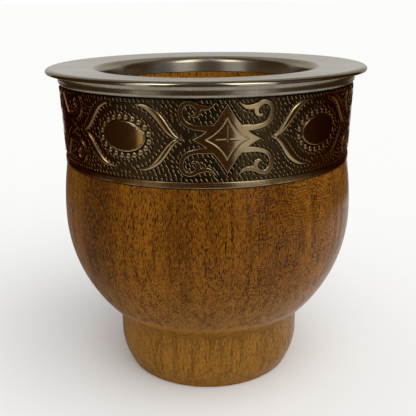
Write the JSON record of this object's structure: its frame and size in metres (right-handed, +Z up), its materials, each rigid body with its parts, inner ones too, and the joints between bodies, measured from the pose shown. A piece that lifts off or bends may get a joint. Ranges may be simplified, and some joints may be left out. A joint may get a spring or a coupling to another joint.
{
  "type": "mate cup",
  "caption": "Round turned-wood mate cup on a short foot, with a flat flared metal rim and a dark chased metal band of stars, scrolls and ovals round its neck.",
  "frame": {"origin": "centre of the foot's flat underside, on the surface that the cup stands on", "axes": "+Z up along the cup's turning axis; -Y towards the side that the picture shows; the band's seam is at the back"},
  "size_m": [0.09, 0.0902, 0.0905],
  "materials": {
    "turned_wood": "satin lacquer over open-pored golden brown wood",
    "polished_white_metal": "polished white metal with a fine satin on the flange",
    "darkened_chased_metal": "chased, darkened in the ground and polished on the raised parts",
    "solder": "filed smooth",
    "glue": "hardened glue"
  },
  "bodies": {
    "root": {"wood_cup": "turned_wood", "rim": "polished_white_metal", "under_rim_collar": "polished_white_metal", "chased_band": "darkened_chased_metal", "band_seam_solder": "solder", "border_wire": "darkened_chased_metal", "glue_bed": "glue"}
  },
  "joints": []
}
